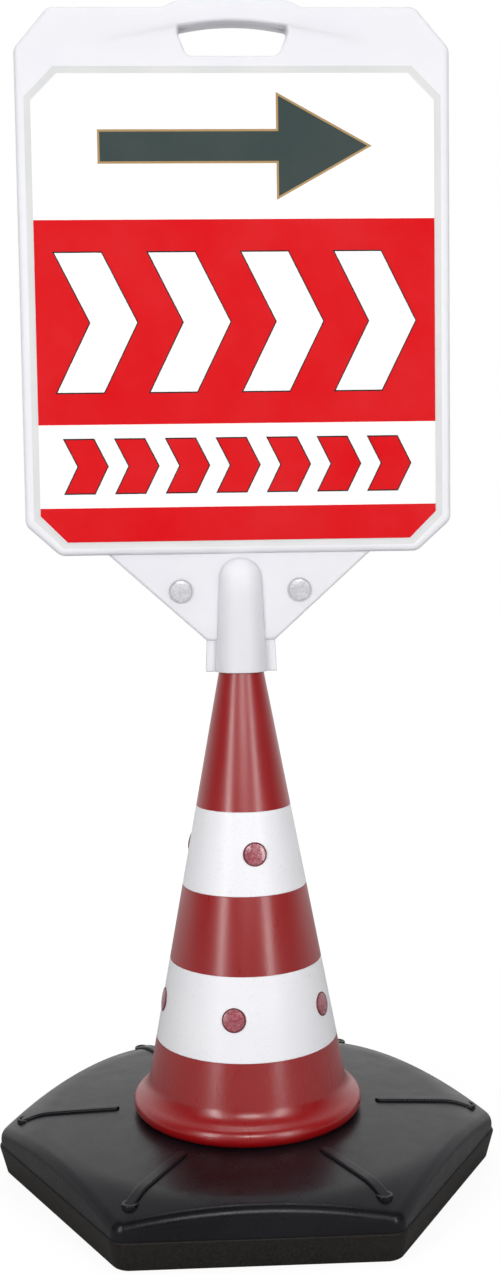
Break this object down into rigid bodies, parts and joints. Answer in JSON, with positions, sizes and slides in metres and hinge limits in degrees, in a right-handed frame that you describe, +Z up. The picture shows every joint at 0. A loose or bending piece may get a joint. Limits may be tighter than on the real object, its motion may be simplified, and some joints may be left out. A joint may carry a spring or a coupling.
{
  "type": "cone sign",
  "caption": "Free-standing advertising cone with a weighted hexagonal base and a double-sided sign that turns and lifts off the cone's tip.",
  "frame": {"origin": "on the floor, under the cone's axis", "axes": "+Z up along the cone's axis, the sign's front faces -Y, two corners of the base lie on the X axis"},
  "size_m": [0.4696, 0.411, 1.074],
  "materials": {
    "base_plastic": "satin moulded black plastic with a fine grain",
    "ballast": "cast concrete",
    "screw_steel": "plated steel",
    "cone_plastic": "glossy red polyethylene",
    "sleeve_film": "white retroreflective film",
    "cup_red": "dark red moulded plastic",
    "lens_red": "clear red lens with a prism pattern",
    "sign_plastic": "white translucent polyethylene",
    "poster_print": "printed vinyl sheet, white with red bands",
    "cup_grey": "grey moulded plastic",
    "lens_grey": "clear lens with a prism pattern"
  },
  "bodies": {
    "base": {"base_tray": "base_plastic", "base_cover": "base_plastic", "ballast_block": "ballast", "cover_screws": "screw_steel", "cone_body": "cone_plastic", "cone_screws": "screw_steel", "lower_sleeve": "sleeve_film", "upper_sleeve": "sleeve_film", "lower_reflector_cups": "cup_red", "lower_reflector_lenses": "lens_red", "upper_reflector_cups": "cup_red", "upper_reflector_lenses": "lens_red"},
    "swivel": {"swivel_plug": "sign_plastic"},
    "sign": {"sign_front_shell": "sign_plastic", "sign_rear_shell": "sign_plastic", "shell_screws": "screw_steel", "front_poster": "poster_print", "rear_poster": "poster_print", "front_reflector_cups": "cup_grey", "front_reflector_lenses": "lens_grey", "rear_reflector_cups": "cup_grey", "rear_reflector_lenses": "lens_grey"}
  },
  "joints": [
    {"name": "sign_swivel", "type": "hinge", "parent": "base", "child": "swivel", "pos_m": [0, 0, 0.505], "axis": [0, 0, 1], "continuous": true},
    {"name": "sign_lift", "type": "slide", "parent": "swivel", "child": "sign", "axis": [0, 0, 1], "range_m": [0, 0.12]}
  ]
}
